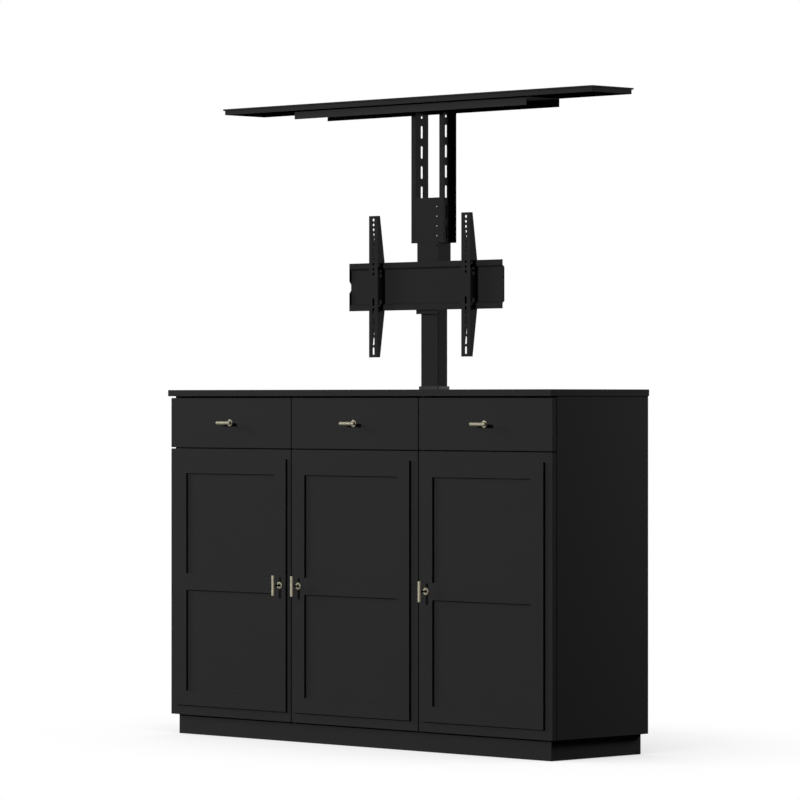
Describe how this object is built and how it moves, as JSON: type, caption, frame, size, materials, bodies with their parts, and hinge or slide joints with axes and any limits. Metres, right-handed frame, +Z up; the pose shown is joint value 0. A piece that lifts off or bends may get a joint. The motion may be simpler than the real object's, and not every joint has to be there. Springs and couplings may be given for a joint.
{
  "type": "tv lift cabinet",
  "caption": "Black sideboard with drawers over framed doors and a motorised TV lift that rises through a lid board in its top.",
  "frame": {"origin": "on the floor, under the middle of the whole footprint, handles included", "axes": "+Z up; -Y out of the doors and drawers; +X to the right of someone who faces them"},
  "size_m": [1.6, 0.4408, 1.906],
  "materials": {
    "black_wood": "matte lacquer",
    "drawer_wood": "matte foil",
    "black_steel": "matte powder coat",
    "zinc_steel": "zinc plated",
    "brass": "brushed champagne",
    "black_plastic": "matte"
  },
  "bodies": {
    "cabinet": {"plinth_long_boards": "black_wood", "plinth_end_boards": "black_wood", "bottom_panel": "black_wood", "side_left": "black_wood", "side_right": "black_wood", "bay_divider": "black_wood", "partition_left": "black_wood", "partition_right": "black_wood", "drawer_rails": "black_wood", "shelves": "black_wood", "shelf_angles": "zinc_steel", "back_panel": "black_wood", "top_panel": "black_wood", "hinge_arms": "zinc_steel", "fixed_runners": "zinc_steel", "lift_base": "black_steel", "outer_tube": "black_steel", "outer_bush": "black_plastic", "gear_housing": "black_steel", "drive_motor": "black_steel", "control_box": "black_plastic"},
    "middle_stage": {"middle_tube": "black_steel", "middle_collar": "black_plastic", "screw_nut": "black_plastic"},
    "screw": {"drive_screw": "zinc_steel"},
    "carriage": {"inner_tube": "black_steel", "head_bracket": "black_steel", "upright_left": "black_steel", "upright_right": "black_steel", "lid_tray": "black_steel", "lid": "black_wood", "tv_plate": "black_steel", "arm_left": "black_steel", "arm_right": "black_steel"},
    "drawer_left": {"drawer_front_left": "black_wood", "drawer_box_left": "drawer_wood", "drawer_runners_left": "zinc_steel", "drawer_handle_left": "brass"},
    "door_left": {"door_panel_left": "black_wood", "door_frame_left": "black_wood", "hinge_cups_left": "zinc_steel", "door_handle_left": "brass"},
    "drawer_middle": {"drawer_front_middle": "black_wood", "drawer_box_middle": "drawer_wood", "drawer_runners_middle": "zinc_steel", "drawer_handle_middle": "brass"},
    "door_middle": {"door_panel_middle": "black_wood", "door_frame_middle": "black_wood", "hinge_cups_middle": "zinc_steel", "door_handle_middle": "brass"},
    "drawer_right": {"drawer_front_right": "black_wood", "drawer_box_right": "drawer_wood", "drawer_runners_right": "zinc_steel", "drawer_handle_right": "brass"},
    "door_right": {"door_panel_right": "black_wood", "door_frame_right": "black_wood", "hinge_cups_right": "zinc_steel", "door_handle_right": "brass"}
  },
  "joints": [
    {"name": "lift", "type": "slide", "parent": "cabinet", "child": "carriage", "axis": [0, 0, 1], "range_m": [-0.862, 0]},
    {"name": "middle_stage_slide", "type": "slide", "parent": "cabinet", "child": "middle_stage", "axis": [0, 0, 1], "range_m": [-0.431, 0]},
    {"name": "screw_spin", "type": "hinge", "parent": "cabinet", "child": "screw", "pos_m": [0, 0.15398, 0.35], "axis": [0, 0, 1], "continuous": true},
    {"name": "drawer_left_slide", "type": "slide", "parent": "cabinet", "child": "drawer_left", "axis": [0, -1, 0], "range_m": [0, 0.1]},
    {"name": "drawer_middle_slide", "type": "slide", "parent": "cabinet", "child": "drawer_middle", "axis": [0, -1, 0], "range_m": [0, 0.1]},
    {"name": "drawer_right_slide", "type": "slide", "parent": "cabinet", "child": "drawer_right", "axis": [0, -1, 0], "range_m": [0, 0.1]},
    {"name": "door_left_hinge", "type": "hinge", "parent": "cabinet", "child": "door_left", "pos_m": [-0.796, -0.17963, 0.46275], "axis": [0, 0, -1], "range_deg": [0, 105]},
    {"name": "door_middle_hinge", "type": "hinge", "parent": "cabinet", "child": "door_middle", "pos_m": [0.26417, -0.17963, 0.46275], "axis": [0, 0, 1], "range_deg": [0, 105]},
    {"name": "door_right_hinge", "type": "hinge", "parent": "cabinet", "child": "door_right", "pos_m": [0.796, -0.17963, 0.46275], "axis": [0, 0, 1], "range_deg": [0, 105]}
  ],
  "couplings": [
    {"joint": "middle_stage_slide", "follows": "lift", "ratio": 0.5},
    {"joint": "screw_spin", "follows": "lift", "rad_per_m": 314.16}
  ]
}
